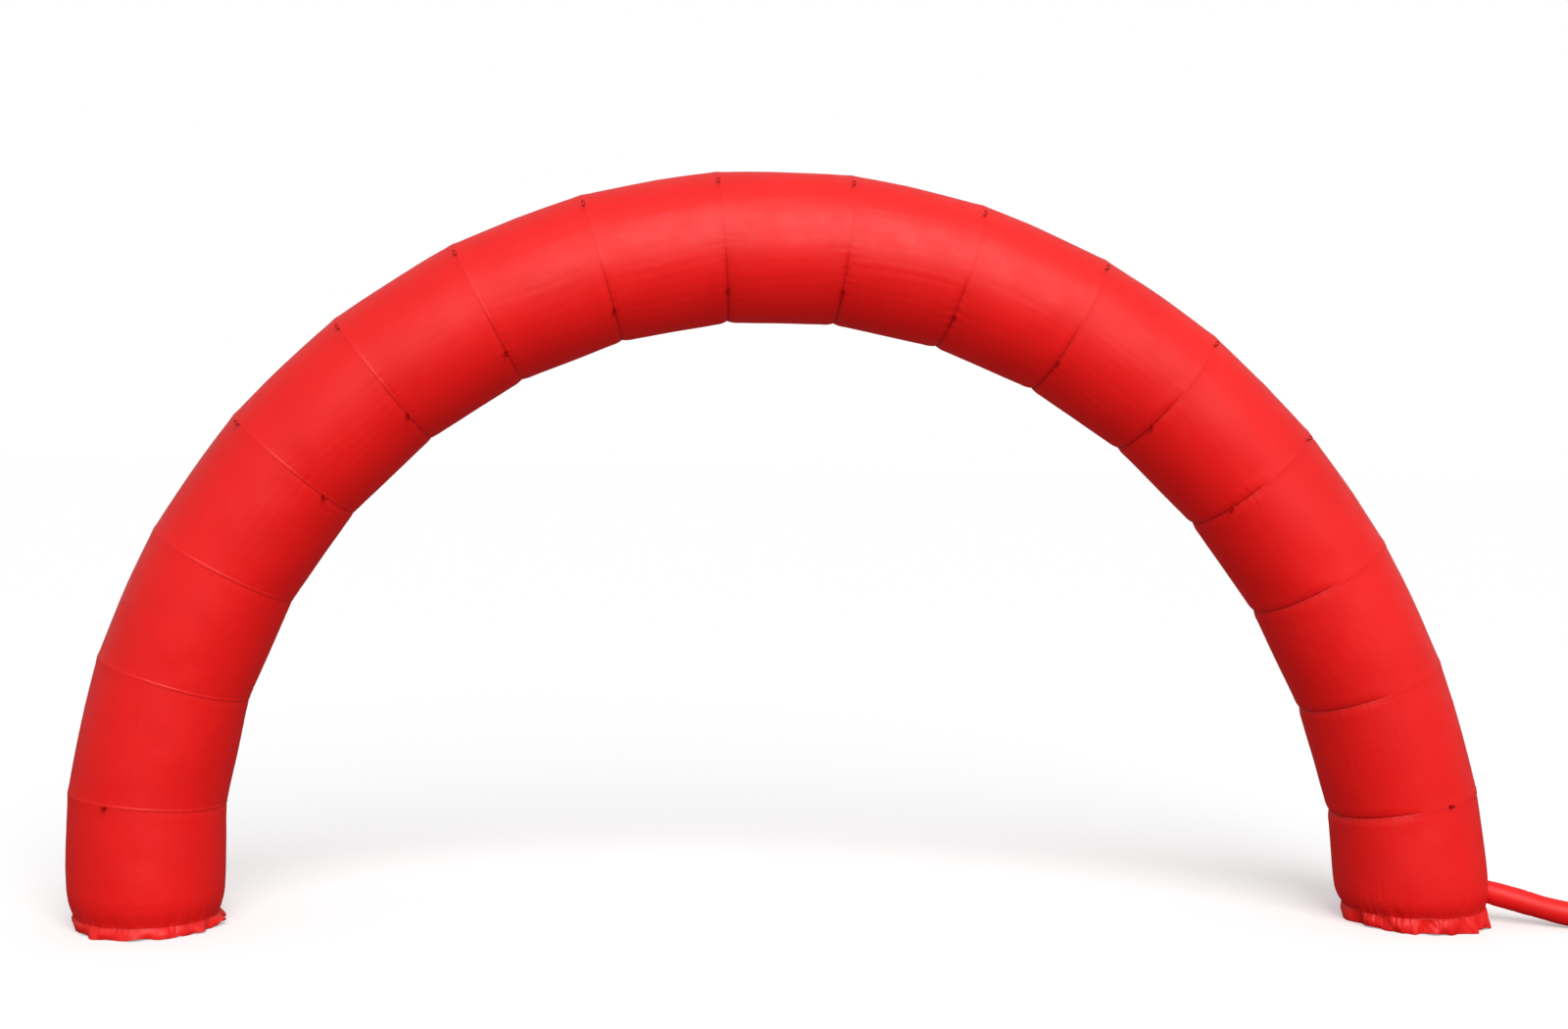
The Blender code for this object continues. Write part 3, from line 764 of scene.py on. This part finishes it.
def lay_cloth_map(mesh, round_place, along_place, girth):
    """The cloth's own flat map in metres; a face that crosses the back line is kept in one piece."""
    corners = np.empty(len(mesh.loops), dtype=int)
    mesh.loops.foreach_get("vertex_index", corners)
    starts = np.empty(len(mesh.polygons), dtype=int)
    mesh.polygons.foreach_get("loop_start", starts)
    counts = np.diff(np.append(starts, len(corners)))
    across = round_place[corners]
    highest = np.repeat(np.maximum.reduceat(across, starts), counts)
    small = np.repeat(counts, counts) <= 4
    across = np.where(small & (highest - across > girth / 2), across + girth, across)
    layer = mesh.uv_layers.new(name="cloth")
    layer.data.foreach_set("uv", np.stack((across, along_place[corners]), axis=1).ravel())


def seam_layers_and_painted_shade(panel, distance, angle):
    """How much darker a seam looks, as painted shade and its folded layers: strongest on the arch's inner
    side, in uneven patches.
    """
    side = pulled_in(angle) * (0.55 - 0.45 * np.sin(angle))
    side = side * np.where(distance >= 0.0, pinch(panel), pinch(panel + 1))
    patch = 0.75 + 0.25 * waves(SEEDS["shade"], 3, 12, 5, angle)
    return side * patch * np.exp(-np.abs(distance) / PAINTED_SHADE_REACH)


def place_points(mesh, points):
    """Moves the mesh's points to their places, and makes its faces look outward."""
    mesh.vertices.foreach_set("co", points.ravel())
    mesh.update()
    count = len(mesh.polygons)
    normals = np.empty(count * 3)
    centres = np.empty(count * 3)
    areas = np.empty(count)
    mesh.polygons.foreach_get("normal", normals)
    mesh.polygons.foreach_get("center", centres)
    mesh.polygons.foreach_get("area", areas)
    spread = centres.reshape(-1, 3) - points.mean(axis=0)
    if (spread * normals.reshape(-1, 3)).sum(axis=1) @ areas < 0.0:
        mesh.flip_normals()


def finish_piece(name, mesh, points, marks, material, slot, *nodes):
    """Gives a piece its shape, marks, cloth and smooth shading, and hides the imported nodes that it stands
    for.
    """
    place_points(mesh, points)
    for mark_name, values in marks.items():
        mark = mesh.attributes.new(mark_name, "FLOAT", "POINT")
        mark.data.foreach_set("value", values)
    mesh.materials.append(material)
    mesh.update()
    mesh.shade_smooth()
    mesh.set_sharp_from_angle(angle=SHARP_ANGLE)
    piece = bpy.data.objects.new(name, mesh)
    bpy.context.scene.collection.objects.link(piece)
    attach(piece, "root")
    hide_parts(*nodes)
    return piece


def thicken(piece, thickness):
    """Gives a sheet its cloth's thickness, on its outer face."""
    wall = piece.modifiers.new("cloth_thickness", "SOLIDIFY")
    wall.thickness = thickness
    wall.offset = 1.0


def signed_distance(share, length):
    """Distance to the nearer seam; negative at the panel's far end, where no allowance is folded."""
    return np.where(share < 0.5, share * length, -(1.0 - share) * length)


def build_panel(panel, material):
    """A sleeve of cloth between two seams, with its ends closed so that it holds a volume."""
    nominal = 2 * ARCH_RADIUS * math.tan(PANEL_TURN / 2)
    near = np.array(ROW_DISTANCES) / nominal
    levels = np.concatenate((near, [0.5], 1.0 - near[::-1]))
    rows = len(levels) - 1
    name = f"cloth_panel_{panel + 1:02d}"
    bm = ring_tube(PANEL_COLUMNS, rows, True)
    mesh, angle, row = tube_mesh(name, bm, rows)
    share = levels[row]
    length = panel_lengths(panel, angle)
    inset = SEAM_GAP / 2 / length
    reach = np.clip(share, inset, 1.0 - inset)
    points = tube_points(panel, reach, angle, panel_rise(panel, share, angle))
    lay_cloth_map(mesh, TUBE_RADIUS * angle, share * length, 2 * math.pi * TUBE_RADIUS)
    distance = signed_distance(share, length)
    marks = {"seam_distance": distance, "seam_layers_and_painted_shade": seam_layers_and_painted_shade(panel, distance, angle)}
    node = f"tube_panel_{panel + 1:02d}"
    piece = finish_piece(name, mesh, points, marks, material, "tube_cloth", node)


def build_foot(panel, name, node, material):
    """A foot's sleeve of cloth, gathered low down, with rows close together there and at its seam."""
    low = np.arange(0.0, 0.42, FOOT_ROW_STEP)
    near = 1.0 - np.array(ROW_DISTANCES[::-1]) / FOOT_HEIGHT
    levels = np.concatenate((low, [0.45, 0.50], near[near > 0.52]))
    rows = len(levels) - 1
    bm = ring_tube(FOOT_COLUMNS, rows, True)
    mesh, angle, row = tube_mesh(name, bm, rows)
    height = levels[row]
    length = panel_lengths(panel, angle)
    inset = SEAM_GAP / 2 / length
    share = foot_share(panel, np.minimum(height, 1.0 - inset))
    points = tube_points(panel, share, angle, foot_rise(panel, height, angle))
    points[:, 2] = np.maximum(points[:, 2], 0.0)
    lay_cloth_map(mesh, TUBE_RADIUS * angle, height * length, 2 * math.pi * TUBE_RADIUS)
    distance = (-1.0 if panel == LEFT_FOOT else 1.0) * (1.0 - height) * length
    marks = {"seam_distance": distance, "seam_layers_and_painted_shade": seam_layers_and_painted_shade(panel, distance, angle)}
    piece = finish_piece(name, mesh, points, marks, material, "tube_cloth", node)
    return piece


def zigzag(turn):
    """A wave of straight slopes with slightly rounded tips."""
    return np.arcsin(0.985 * np.sin(turn)) / 1.4


def tip(angle, width):
    """1 at the left skirt's lifted tip, fading over some degrees round the foot."""
    off = (angle - TIP_ANGLE) / math.radians(width)
    return np.exp(-off ** 2)


def skirt_rise(panel, top, height, angle):
    """A skirt's cloth: sewn on at its top, swinging out and in below, in folds of many widths."""
    fall = np.clip(1.0 - height / top, 0.0, 1.0)
    seat = foot_rise(panel, np.full_like(angle, top), angle) + SEAM_GAP
    edge = SKIRT_EDGE + SKIRT_WAVE * ruffle(angle)
    rise = seat + (edge - seat) * fall
    right = panel == RIGHT_FOOT
    wide, narrow = RIGHT_SKIRT_FOLDS if right else LEFT_SKIRT_FOLDS
    uneven = waves(SEEDS["skirt_lean"] + panel, 2, 7, 5, angle)
    lean = (RIGHT_SKIRT_LEAN if right else LEFT_SKIRT_LEAN) * fall * uneven
    ripple = waves(SEEDS["skirt_ripple"] + panel, 34, 60, 8, angle + 0.05 * lean)
    small = SKIRT_RIPPLE * ripple * np.sin(math.pi * np.clip(fall, 0.0, 1.0))
    middle = 0.6 * zigzag(wide * angle + lean + 0.7) + 0.4 * zigzag(narrow * angle - 1.4 * lean)
    middle = (RIGHT_SKIRT_FOLD if right else LEFT_SKIRT_FOLD) * middle * fall ** 0.6
    hang = 0.7 + 0.5 * waves(SEEDS["skirt_belly"] + panel, 5, 17, 5, angle)
    belly = SKIRT_BELLY * np.sin(math.pi * fall) * hang
    total = rise + small + middle + belly
    if panel == LEFT_FOOT:
        turn = np.degrees(angle)
        tucked = np.clip((turn - TUCK_START) / TUCK_BLEND, 0.0, 1.0)
        tucked = tucked * np.clip((TUCK_END - turn) / TUCK_BLEND, 0.0, 1.0)
        total = total - tucked * fall * (total - seat + TUCK_DEPTH)
        total = total + TIP_REACH * tip(angle, 5) * fall
    return total


def build_skirt(panel, top, name, node, material):
    """A strip of cloth gathered round the bottom of a foot, resting on the ground."""
    bm = ring_tube(SKIRT_COLUMNS, SKIRT_ROWS, False)
    mesh, angle, row = tube_mesh(name, bm, SKIRT_ROWS)
    height = top * row / SKIRT_ROWS
    fall = 1.0 - height / top
    rise = skirt_rise(panel, top, height, angle)
    points = tube_points(panel, foot_share(panel, height), angle, rise)
    lift = SKIRT_LIFT * np.maximum(0.0, np.cos(7 * angle + 0.9)) ** 2
    uneven = waves(SEEDS["skirt_hem"] + panel, 15, 40, 7, angle)
    lift = lift + SKIRT_HEM_LIFT * np.maximum(0.0, uneven)
    if panel == LEFT_FOOT:
        lift = lift + TIP_LIFT * tip(angle, 6)
    points[:, 2] = np.maximum(points[:, 2], 0.0) + SKIRT_REST + lift * fall ** 2
    length = panel_lengths(panel, angle)
    girth = SKIRT_FULLNESS * 2 * math.pi * TUBE_RADIUS
    lay_cloth_map(mesh, SKIRT_FULLNESS * TUBE_RADIUS * angle, height * length, girth)
    distance = fall * top * length
    # painted shade along the skirt's sewn top, where it meets the foot
    marks = {"seam_distance": distance, "seam_layers_and_painted_shade": 0.8 * np.exp(-distance / PAINTED_SHADE_REACH)}
    piece = finish_piece(name, mesh, points, marks, material, "skirt_cloth", node)
    thicken(piece, SKIRT_THICKNESS)


def smooth_route(points, steps):
    """A smooth curve through the route's points, with evenly stepped points between them."""
    route = []
    padded = [2 * points[0] - points[1], *points, 2 * points[-1] - points[-2]]
    for before, start, end, after in zip(padded, padded[1:], padded[2:], padded[3:]):
        for step in range(steps):
            route.append(between(before, start, end, after, step / steps))
    route.append(points[-1])
    return np.array(route)


def walked_along(line):
    """Distance along a line to each of its points."""
    return np.concatenate(([0.0], np.cumsum(np.linalg.norm(np.diff(line, axis=0), axis=1))))


def outside_foot(points):
    """Whether points lie clear of the right foot's cloth."""
    angle = np.full(len(points), math.pi / 2)
    for _ in range(FOOT_SEARCH_ROUNDS):
        height = points[:, 2] / seam_points(RIGHT_FOOT, angle)[:, 2]
        axis = SPINE[RIGHT_FOOT + 1] + (SPINE[RIGHT_FOOT] - SPINE[RIGHT_FOOT + 1]) * height[:, None]
        angle = np.arctan2(points[:, 0] - axis[:, 0], axis[:, 1] - points[:, 1])
    surface = tube_points(RIGHT_FOOT, 1.0 - height, angle, foot_rise(RIGHT_FOOT, height, angle))
    reach = np.linalg.norm((points - axis)[:, :2], axis=1)
    return reach > np.linalg.norm((surface - axis)[:, :2], axis=1) + SLEEVE_SEAT


def seat_on_foot(points, heading):
    """Slides points along a direction until they just clear the right foot."""
    near = np.zeros(len(points))
    far = np.full(len(points), TUBE_RADIUS)
    for _ in range(SEAT_HALVINGS):
        middle = (near + far) / 2
        clear = outside_foot(points + middle[:, None] * heading)
        far = np.where(clear, middle, far)
        near = np.where(clear, near, middle)
    return points + far[:, None] * heading


def build_sleeve(material):
    """A sleeve of cloth kept open by the air: gathered where it is sewn on, creased where it lies down."""
    foot = SPINE[RIGHT_FOOT + 1]
    corners = [foot + np.array((out, -forward, height)) for out, forward, height in SLEEVE_ROUTE]
    route = smooth_route(corners, SLEEVE_STEPS)
    walked = walked_along(route)
    total = walked[-1]
    levels = np.linspace(0.0, 1.0, SLEEVE_ROWS + 1) ** SLEEVE_CROWDING
    bm = ring_tube(SLEEVE_COLUMNS, SLEEVE_ROWS, False)
    mesh, angle, row = tube_mesh("air_sleeve_cloth", bm, SLEEVE_ROWS)
    distance = total * levels[row]
    behind, centre, ahead = (
        np.stack([np.interp(distance + step, walked, route[:, axis]) for axis in range(3)], axis=1)
        for step in (-HEADING_STEP, 0.0, HEADING_STEP))
    heading = unit(ahead - behind)
    side = unit(np.cross(heading, UP))
    above = np.cross(side, heading)
    ease = np.minimum(1.0, distance / SLEEVE_NECK_LENGTH)
    radius = SLEEVE_NECK + (SLEEVE_RADIUS - SLEEVE_NECK) * np.sin(ease * math.pi / 2)
    # Small pleats at the neck, ring creases on the bend's lower side, and slack along the ground
    pleats = SLEEVE_PLEAT * waves(SEEDS["sleeve_pleat"], 9, 22, 7, angle) * np.exp(-distance / 0.06)
    draw = np.random.default_rng(SEEDS["sleeve_slack"])
    slack = np.zeros_like(distance)
    for place in np.arange(0.08, total - 0.10, SLACK_STEP):
        spot = place + draw.uniform(-0.018, 0.018)
        turn = draw.uniform(-math.pi, math.pi)
        lean = draw.uniform(-0.02, 0.02)
        depth = draw.uniform(0.0006, 0.0026)
        width = draw.uniform(0.006, 0.014)
        off = (distance - spot - lean * np.sin(angle - turn)) / width
        slack = slack - depth * np.exp(-off ** 2) * (0.5 + 0.5 * np.cos(angle - turn)) ** 1.5
    swell = 0.0016 * np.sin(distance * 11.0 + 2.0 * np.cos(angle)) + 0.0010 * np.sin(distance * 23.0 + 1.3)
    from_mouth = total - distance
    hem = SLEEVE_HEM_RISE * np.clip((SLEEVE_HEM_LENGTH - from_mouth) / 0.0015, 0.0, 1.0)
    wobble = SLEEVE_WOBBLE * np.cos(5 * angle + 0.6) * np.exp(-from_mouth / 0.05)
    radius = radius - SLEEVE_WALL + pleats + slack + swell * ease + hem + wobble
    spoke = np.cos(angle)[:, None] * side + np.sin(angle)[:, None] * above
    points = centre + radius[:, None] * spoke
    root = row == 0
    points[root] = seat_on_foot(points[root], heading[root][0])
    points[:, 2] = np.maximum(points[:, 2], SLEEVE_WALL + SLEEVE_FLOAT)
    # The stitches run beside the sewn end and beside the hem, and far from both there are none
    from_hem = np.where(from_mouth < SLEEVE_HEM_LENGTH * 2, SLEEVE_HEM_LENGTH - from_mouth, 1.0)
    seam = np.where(distance < 0.05, distance, from_hem)
    lay_cloth_map(mesh, SLEEVE_RADIUS * angle, distance, 2 * math.pi * SLEEVE_RADIUS)
    # painted shade at the sleeve's sewn end, where it meets the foot
    marks = {"seam_distance": seam, "seam_layers_and_painted_shade": 0.8 * np.exp(-distance / PAINTED_SHADE_REACH)}
    piece = finish_piece("air_sleeve_cloth", mesh, points, marks, material, "sleeve_cloth", "air_sleeve")
    thicken(piece, SLEEVE_WALL)


def loop_line():
    """The webbing's middle line from one foot of the loop to the other, rounded off."""
    right = [np.array((spread, height, 0.0)) for spread, height in LOOP_OUTLINE]
    left = [np.array((-spread, height, 0.0)) for spread, height in LOOP_OUTLINE[-2::-1]]
    return smooth_route(right + left, LOOP_STEPS)


def build_loop(name, corner, angle, node, material):
    """A folded webbing loop on a seam: its two tails enter the cloth side by side, below its open eye."""
    line = loop_line()
    steps = len(line) - 1
    spot = np.array((angle,))
    outward = around(corner, spot)[0]
    along = SEAM_NORMALS[corner]
    across = np.cross(outward, along)
    if corner < RIGHT_FOOT:
        rise = panel_rise(corner, np.zeros(1), spot)[0]
    else:
        rise = foot_rise(corner, np.ones(1), spot)[0]
    seat = seam_points(corner, spot)[0] + float(rise) * outward
    bm = bmesh.new()
    bmesh.ops.create_grid(bm, x_segments=steps, y_segments=LOOP_CELLS, size=0.5)
    mark = bm.loops.layers.uv.new("cloth")
    walked = walked_along(line)
    for face in bm.faces:
        for corner_of_face in face.loops:
            step = round((corner_of_face.vert.co.x + 0.5) * steps)
            corner_of_face[mark].uv = (corner_of_face.vert.co.y * LOOP_WIDTH, walked[step])
    for vert in bm.verts:
        step = round((vert.co.x + 0.5) * steps)
        across_place = vert.co.y * LOOP_WIDTH
        spread, height = line[step][:2]
        vert.co = Vector(seat + spread * along + height * outward + across_place * across)
    bmesh.ops.solidify(bm, geom=bm.faces, thickness=LOOP_THICKNESS)
    bmesh.ops.recalc_face_normals(bm, faces=bm.faces)
    rims = [edge for edge in bm.edges if len(edge.link_faces) == 2 and edge.calc_face_angle() > 1.2]
    bmesh.ops.bevel(bm, geom=rims, offset=LOOP_EDGE, offset_type="OFFSET", segments=2, profile=0.5,
                    affect="EDGES", material=-1)
    mesh = hand_over(name, bm)
    finish_piece(name, mesh, mesh_places(mesh), {}, material, "webbing", node)


# Studio: linear colours; the camera sees a white sky and a pale floor, and the arch is lit by less
WHITE = (1.0, 1.0, 1.0, 1.0)
SKY_LIGHT = (0.47, 0.47, 0.47, 1.0)
FLOOR_TONE = (0.80, 0.80, 0.80, 1.0)
FLOOR_BOUNCE = (0.36, 0.09, 0.09, 1.0)  # painted red bounce light: the floor gives red light back to the arch, standing in for light through the thin cloth
FLOOR_GLOW = 0.31
FLOOR_SIZE = 600.0
FLOOR_DROP = 0.0005                   # it lies this far under the feet


def add_camera():
    """Stands where the photograph was taken from, with its lens."""
    forward = Vector((math.sin(CAMERA_YAW) * math.cos(CAMERA_PITCH),
                      math.cos(CAMERA_YAW) * math.cos(CAMERA_PITCH), math.sin(CAMERA_PITCH)))
    level = Vector((math.cos(CAMERA_YAW), -math.sin(CAMERA_YAW), 0.0))
    upright = level.cross(forward)
    right = math.cos(CAMERA_ROLL) * level + math.sin(CAMERA_ROLL) * upright
    top = -math.sin(CAMERA_ROLL) * level + math.cos(CAMERA_ROLL) * upright
    data = bpy.data.cameras.new("photo_camera")
    data.lens = CAMERA_LENS
    data.sensor_width = CAMERA_SENSOR
    data.sensor_fit = "HORIZONTAL"
    data.clip_end = CAMERA_REACH
    camera = bpy.data.objects.new("photo_camera", data)
    turned = Matrix((right, top, -forward)).transposed().to_4x4()
    camera.matrix_world = Matrix.Translation(CAMERA_PLACE) @ turned
    bpy.context.scene.collection.objects.link(camera)
    bpy.context.scene.camera = camera


def add_sun(name, azimuth, elevation, strength, spread):
    """Soft light from a direction; azimuth is measured from the front towards +X."""
    data = bpy.data.lights.new(name, "SUN")
    data.energy = strength
    data.angle = math.radians(spread)
    light = bpy.data.objects.new(name, data)
    turn = math.radians(azimuth)
    rise = math.radians(elevation)
    source = Vector((math.sin(turn) * math.cos(rise), -math.cos(turn) * math.cos(rise), math.sin(rise)))
    light.rotation_euler = source.to_track_quat("Z", "Y").to_euler()
    bpy.context.scene.collection.objects.link(light)


def add_softbox(name, place, target, power, width, height):
    """A large even light that faces a target; the camera doesn't see it."""
    data = bpy.data.lights.new(name, "AREA")
    data.shape = "RECTANGLE"
    data.size = width
    data.size_y = height
    data.energy = power
    light = bpy.data.objects.new(name, data)
    light.location = place
    light.rotation_euler = (Vector(place) - Vector(target)).to_track_quat("Z", "Y").to_euler()
    light.visible_camera = False
    bpy.context.scene.collection.objects.link(light)


def add_studio():
    """A pale floor that runs to the horizon under an even pale sky, with a soft key light and a softbox."""
    bm = bmesh.new()
    bmesh.ops.create_grid(bm, x_segments=8, y_segments=8, size=FLOOR_SIZE)
    mesh = hand_over("studio_floor", bm)
    floor = bpy.data.objects.new("studio_floor", mesh)
    mesh.transform(Matrix.Translation((SPINE[-1][0] / 2, 0.0, -FLOOR_DROP)))
    bpy.context.scene.collection.objects.link(floor)
    material, tree, shader = new_material("pale_studio_floor")
    seen = add_node(tree, "ShaderNodeLightPath").outputs["Is Camera Ray"]
    tone = add_node(tree, "ShaderNodeMix", {"Factor": seen, "A": FLOOR_BOUNCE, "B": FLOOR_TONE},
                    data_type="RGBA")
    tree.links.new(tone.outputs["Result"], shader.inputs["Base Color"])
    lit = add_node(tree, "ShaderNodeMath", {0: seen, 1: FLOOR_GLOW}, operation="MULTIPLY").outputs[0]
    shader.inputs["Emission Color"].default_value = WHITE
    tree.links.new(lit, shader.inputs["Emission Strength"])
    shader.inputs["Roughness"].default_value = 0.9
    shader.inputs["Specular IOR Level"].default_value = 0.1
    floor.data.materials.append(material)

    world = bpy.data.worlds.new("studio_sky")
    bpy.context.scene.world = world
    world.use_nodes = True
    tree = world.node_tree
    backdrop = tree.nodes["Background"]
    seen = add_node(tree, "ShaderNodeLightPath").outputs["Is Camera Ray"]
    glow = add_node(tree, "ShaderNodeMix", {"Factor": seen, "A": SKY_LIGHT, "B": WHITE}, data_type="RGBA")
    tree.links.new(glow.outputs["Result"], backdrop.inputs["Color"])
    add_sun("key_light", azimuth=10.0, elevation=40.0, strength=1.95, spread=44.0)
    add_softbox("softbox", place=(5.4, -10.0, 6.5), target=(5.4, 0.0, 4.0), power=290.0, width=8.0,
                height=3.0)
    bpy.context.scene.view_settings.view_transform = "Standard"


add_camera()
BLOWN = inflate_cloth()
tube_cloth = coated_polyester("coated_polyester_red", red="EC1A17", deep_red="E41613", roughness=0.48,
                              weave=0.10, stitches=BAND_STITCHES)
# The skirts have the tube's cloth, painted lighter: painted light that shines through their single layer
skirt_cloth = coated_polyester("gathered_polyester_red", red="FA2420", deep_red="F01C19", roughness=0.48,
                               weave=0.12, stitches=SKIRT_STITCHES)
sleeve_cloth = coated_polyester("sleeve_polyester_red", red="EE1C19", deep_red="E41815", roughness=0.46,
                                weave=0.12, stitches=SLEEVE_STITCHES)
webbing = woven_webbing("polyester_webbing_red", red="D00A08", deep_red="A00605")

left_foot = build_foot(LEFT_FOOT, "cloth_foot_left", "foot_left", tube_cloth)
right_foot = build_foot(RIGHT_FOOT, "cloth_foot_right", "foot_right", tube_cloth)
for panel_number in range(1, SEAM_COUNT):
    build_panel(panel_number, tube_cloth)
build_skirt(LEFT_FOOT, LEFT_SKIRT_TOP, "cloth_skirt_left", "skirt_left", skirt_cloth)
build_skirt(RIGHT_FOOT, RIGHT_SKIRT_TOP, "cloth_skirt_right", "skirt_right", skirt_cloth)
build_sleeve(sleeve_cloth)
for seam_number in LOOP_SEAMS:
    for side in ("inner", "outer"):
        build_loop(f"webbing_loop_{side}_{seam_number:02d}", seam_number, LOOP_ANGLES[side],
                   f"tie_loop_{side}_{seam_number:02d}", webbing)
for seam_number in FOOT_LOOP_SEAMS:
    build_loop(f"webbing_loop_foot_{seam_number:02d}", seam_number, LOOP_ANGLES["foot"],
               f"tie_loop_foot_{seam_number:02d}", webbing)
add_studio()
